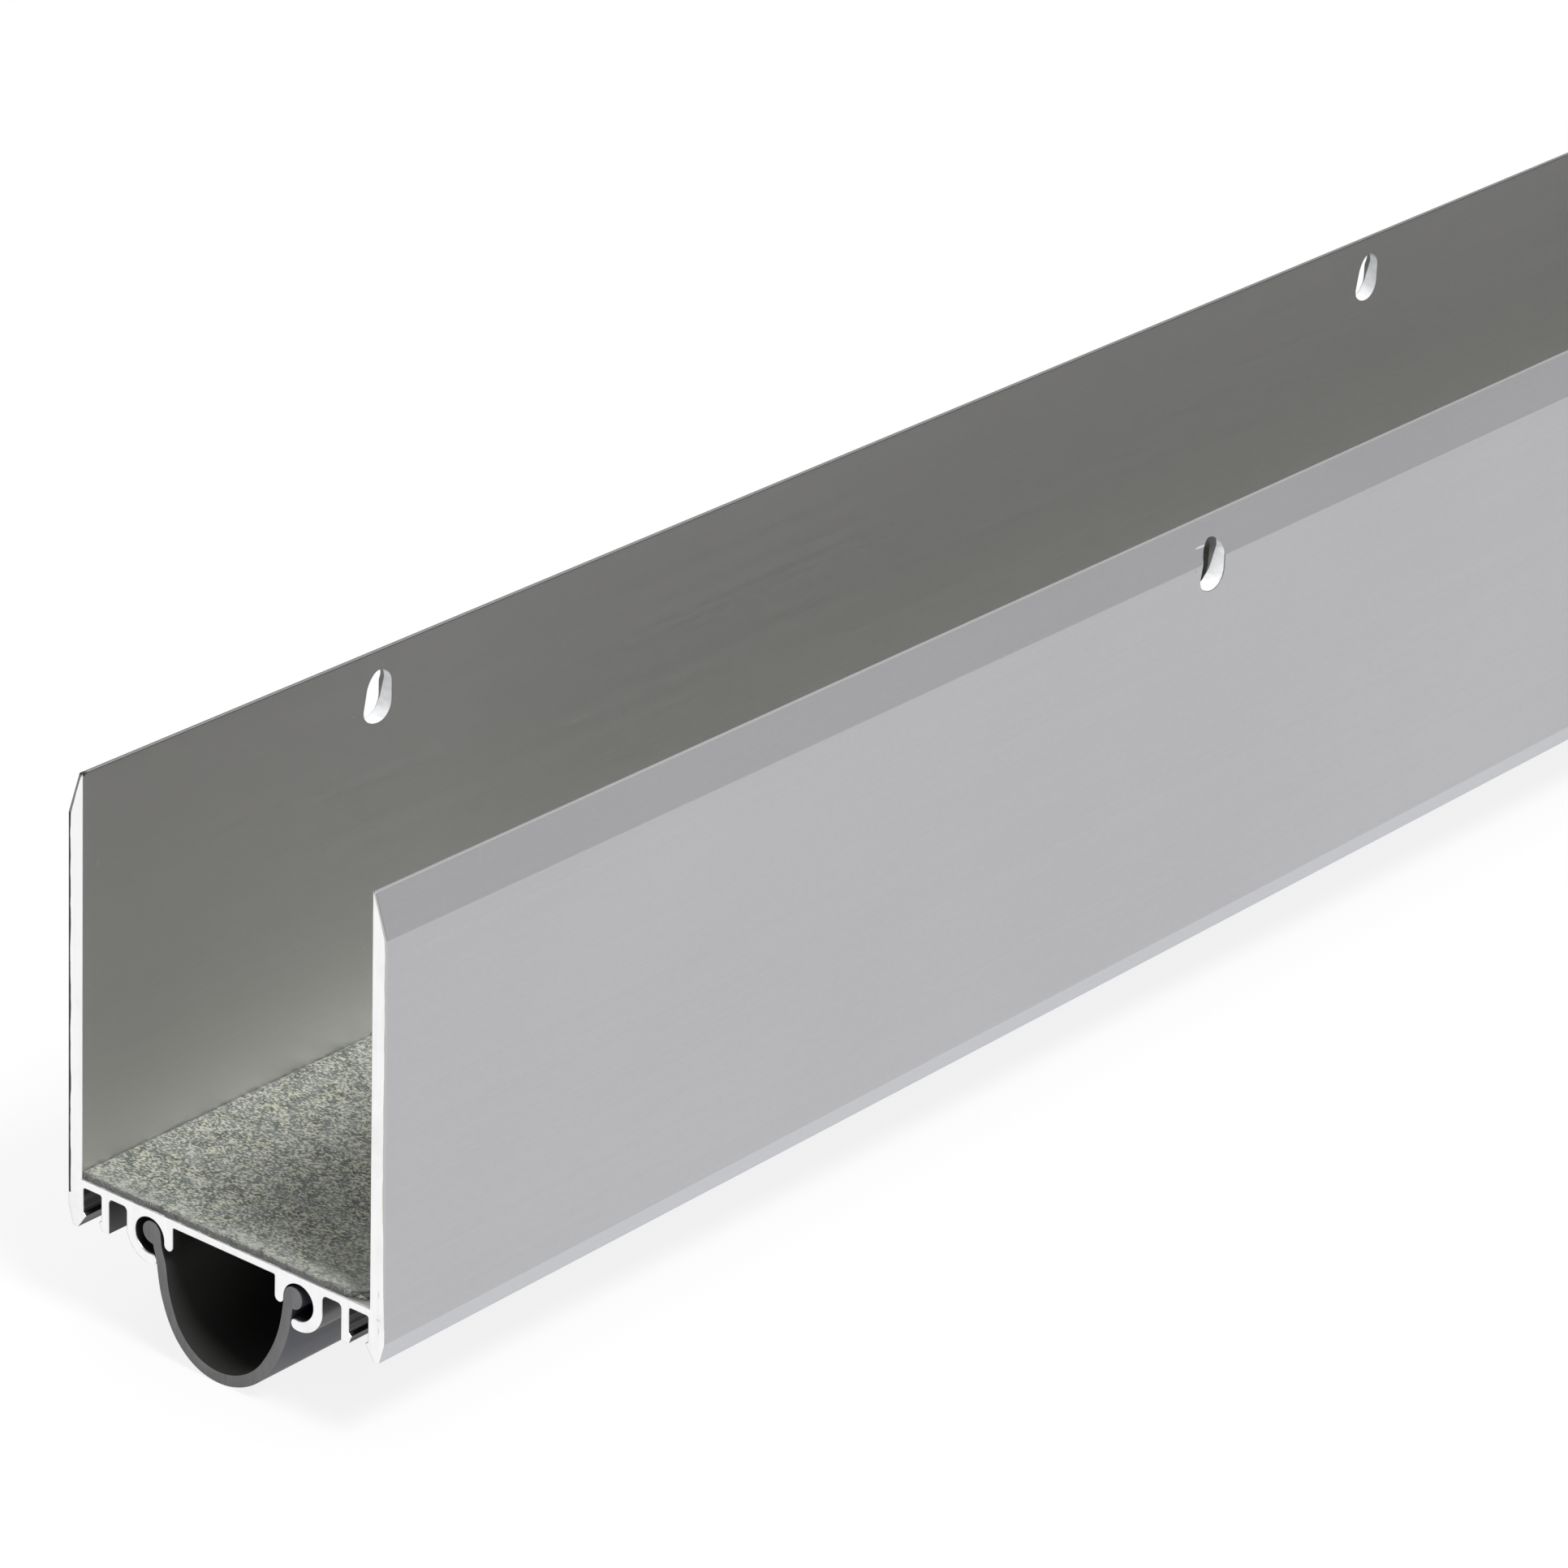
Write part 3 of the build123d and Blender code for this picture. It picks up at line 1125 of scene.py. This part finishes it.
finish_with(channel, anodised, sawn, punched)
end_zone = (saw_edge + 0.02) * MM
slot_half = (slot_height / 2 + 0.4) * MM
finish_counts = [0, 0, 0]
for face in channel.data.polygons:
    at_end = min(face.center.y - near_y, far_y - face.center.y) < end_zone
    in_wall = abs(face.center.x) > (inner_top + 0.05) * MM
    in_slot = in_wall and abs(face.center.z - slot_z) < slot_half and abs(face.normal.x) < 0.75
    face.material_index = 1 if at_end else 2 if in_slot else 0
    finish_counts[face.material_index] += 1
print("anodised, sawn and punched faces:", finish_counts)

# %% [markdown]
# ## Vinyl
#
# The skin of the vinyl is nearly black and has a low gloss, so its colour comes mostly from what
# it mirrors. Sheared across, the same stuff is paler and dull, partly because the blade drags and
# whitens it and partly as painted light. The inside is duller than the outside, and its colour
# carries painted shade: nearly black near the open end, paler further in. So the loop gets three
# materials that share the die lines and the saw strokes.

# %% Vinyl skin and cut
skin, shader = new_material("vinyl_skin")
lines = place_group(die_lines, Fineness=1500.0)
marks = place_group(handling, Mottle_Scale=40.0, Speck_Size=0.02)
tone = stretch(marks["Mottle"], 0.3, 0.7)
colour = blend(tone, (0.050, 0.053, 0.066, 1), (0.063, 0.067, 0.082, 1))
colour = tinted(colour, marks["Specks"], 0.5, grey(0.4))
roughness = stretch(lines["Lines"], 0.3, 0.7, 0.33, 0.45)
bump = bumped(lines["Lines"], 0.12, 0.1 * MM)
plug(shader, Base_Color=colour, Roughness=roughness, Normal=bump, Specular_IOR_Level=0.5)

# the cut: paler than the skin, partly whitened by the blade and partly painted light
cut_vinyl, shader = new_material("vinyl_cut")
strokes = place_group(saw_strokes, Fineness=3000.0)
sheared = stretch(strokes["Strokes"], 0.35, 0.65)
colour = blend(sheared, grey(0.185), grey(0.215, -0.01))
whitened = stretch(strokes["Chatter"], 0.5, 0.75, 0.0, 0.6)
colour = blend(whitened, colour, grey(0.265))
bump = bumped(strokes["Strokes"], 0.25, 0.08 * MM)
plug(shader, Base_Color=colour, Roughness=0.62, Normal=bump, Specular_IOR_Level=0.35)

inner_skin, shader = new_material("vinyl_inner_skin")
lines = place_group(die_lines, Fineness=1500.0)
roughness = stretch(lines["Lines"], 0.3, 0.7, 0.60, 0.72)
# painted shade: nearly black near the open end, paler further in
from_centre = calculate("ABSOLUTE", axes(place_on())["Y"])
near_the_end = stretch(from_centre, far_y - 45 * MM, far_y - 3 * MM)
colour = blend(near_the_end, (0.200, 0.193, 0.186, 1), (0.040, 0.039, 0.038, 1))
plug(shader, Base_Color=colour, Roughness=roughness, Specular_IOR_Level=0.04)

finish_with(loop, skin, cut_vinyl, inner_skin)
air_middle = Vector((0, 0, web_top - 9.0 * MM))
for face in loop.data.polygons:
    at_end = min(face.center.y - near_y, far_y - face.center.y) < 0.06 * MM
    inward = (air_middle - face.center) * Vector((1, 0, 1))
    face.material_index = 1 if at_end else 2 if face.normal.dot(inward) > 0 else 0
print(skin.name, cut_vinyl.name, inner_skin.name)

# %% [markdown]
# ## Felt
#
# The felt is pressed from fibres of many colours: beige, grey-green and near black. At arm's
# length that reads as pepper and salt, with grains of about half a millimetre that lie a little
# across the strip. Two noises choose the grain's lightness, a slower one its tint. Next to the cut
# the fibres are roughed up and paler, next to the front wall near the end light is painted in, and
# below its top the cut edge is a plain, dull band.


# %% Felt
def felt_material(name, dark, middle, light, cut):
    """Flecked felt from its three fibre colours and the colour of its cut edge."""
    material, shader = new_material(name)
    place = place_on()
    parts = axes(place)
    laid = mapped(place, Rotation=(0, 0, math.radians(-36)), Scale=(0.62, 1.0, 1.0))
    fleck = cloud(laid, 4000.0, 1.0)
    clump = cloud(place, 620.0)
    patch = cloud(place, 300.0)
    clumped = times(minus(clump, 0.5), 0.35)
    ramp = add("ShaderNodeValToRGB", {"Fac": calculate("ADD", fleck, clumped)})
    stops = ramp.color_ramp.elements
    stops[0].position, stops[0].color = 0.38, dark
    stops[1].position, stops[1].color = 0.64, light
    stops.new(0.50).color = middle
    colour = ramp.outputs[0]
    cooler = blend(0.5, colour, (0.45, 0.48, 0.50, 1))
    colour = blend(stretch(patch, 0.35, 0.65, 0.0, 0.35), colour, cooler)
    frayed = stretch(parts["Y"], near_y + 0.3 * MM, near_y + 3.2 * MM, 0.5, 0.0)
    frayed = times(frayed, stretch(clump, 0.35, 0.6))
    colour = blend(frayed, colour, (0.46, 0.48, 0.45, 1))
    # painted light: paler next to the front wall near the end, where the wall's shadow falls
    by_front_wall = stretch(parts["X"], 9 * MM, 21 * MM)
    painted_wall_light = times(by_front_wall, stretch(parts["Y"], near_y + 60 * MM, near_y + 5 * MM))
    colour = tinted(colour, painted_wall_light, 0.28, (0.50, 0.52, 0.48, 1))
    cut_top, cut_start = felt_high.z - 0.20 * MM, felt_high.z - 0.27 * MM
    in_cut = stretch(parts["Z"], cut_start, cut_top, 1.0, 0.0)
    colour = tinted(colour, in_cut, 0.8, cut)
    bump = bumped(fleck, 0.5, 0.15 * MM)
    plug(shader, Base_Color=colour, Roughness=0.95, Normal=bump, Specular_IOR_Level=0.15)
    plug(shader, Sheen_Weight=0.15, Sheen_Roughness=0.5)
    return material


felt_flecked = felt_material(
    "felt_flecked",
    dark=(0.075, 0.086, 0.075, 1),
    middle=(0.180, 0.193, 0.165, 1),
    light=(0.44, 0.44, 0.355, 1),
    cut=grey(0.14, -0.01),
)
fibre_pale = felt_material(
    "felt_fibre",
    dark=(0.20, 0.21, 0.18, 1),
    middle=(0.50, 0.51, 0.44, 1),
    light=(0.80, 0.80, 0.70, 1),
    cut=grey(0.25, 0.02),
)
finish_with(felt, felt_flecked)
finish_with(fibres, fibre_pale)
print(felt_flecked.name, fibre_pale.name)

# %% [markdown]
# ## Floor, sky and lamp
#
# The shoe lies on a white table in a bright room. The floor is white, catches the shoe's shadow,
# and is shown a little whiter to the camera and in mirrors than it lights the shoe, so that the
# background reads as paper. The sky is paler at the top than at the horizon, which is what
# shades the bevels, and one large soft lamp stands to the right of the camera.

# %% Stage
shown_white = 0.86

select_nothing()
bpy.ops.mesh.primitive_plane_add(size=12.0, location=(0, 0, cad_box[0].z - 0.05 * MM))
floor = bpy.context.object
floor.name = "floor"
settle()
paper, shader = new_material("white_paper")
plug(shader, Base_Color=grey(0.93), Roughness=0.9, Specular_IOR_Level=0.1)
rays = add("ShaderNodeLightPath")
seen = rays.outputs["Is Camera Ray"]
for kind in ("Is Glossy Ray", "Is Transmission Ray"):
    seen = calculate("MAXIMUM", seen, rays.outputs[kind])
white = add("ShaderNodeEmission", {"Color": grey(1.0), "Strength": 1.0})
mixed = {0: times(seen, shown_white), 1: shader.outputs[0], 2: white.outputs[0]}
mix = add("ShaderNodeMixShader", mixed)
tree.links.new(mix.outputs[0], tree.nodes["Material Output"].inputs[0])
finish_with(floor, paper)

# %% Sky and lamp
world = bpy.data.worlds.new("bright_room")
bpy.context.scene.world = world
world.use_nodes = True
open_tree(world.node_tree)
background = tree.nodes["Background"]
direction = add("ShaderNodeTexCoord").outputs["Generated"]
parts = axes(direction)
by_height = stretch(parts["Z"], 0.05, 0.75, 0.08, 1.0)
by_side = stretch(parts["Y"], -0.8, 0.2, 0.1, 1.0)
plug(background, Color=grey(1.0), Strength=times(by_height, by_side))

lamp_data = bpy.data.lights.new("soft_lamp", "AREA")
lamp_data.shape = "DISK"
lamp_data.size = 0.7
lamp_place = Vector((1.27, -0.70, 2.05))
lamp_level = 0.75
lamp_data.energy = lamp_level * math.pi**2 * lamp_place.length_squared
lamp = bpy.data.objects.new("soft_lamp", lamp_data)
bpy.context.scene.collection.objects.link(lamp)
lamp.location = lamp_place
lamp.rotation_euler = (-lamp_place).to_track_quat("-Z", "Y").to_euler()
bpy.context.scene.view_settings.view_transform = "Standard"
print(f"lamp of {lamp_data.energy:.0f} W, {lamp_place.length:.2f} m away")

# %% [markdown]
# ## Attaching the pieces
#
# Each piece rides on the shoe's one body, and the three CAD pieces that they replace are hidden.

# %% Attach the pieces and hide the frame
for piece, slot_name in (
    (channel, "anodised_aluminium"),
    (loop, "grey_vinyl"),
    (felt, "speckled_felt"),
    (fibres, "speckled_felt"),
):
    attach(piece, "root")
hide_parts("channel")
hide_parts("vinyl_insert")
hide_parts("felt_strip")
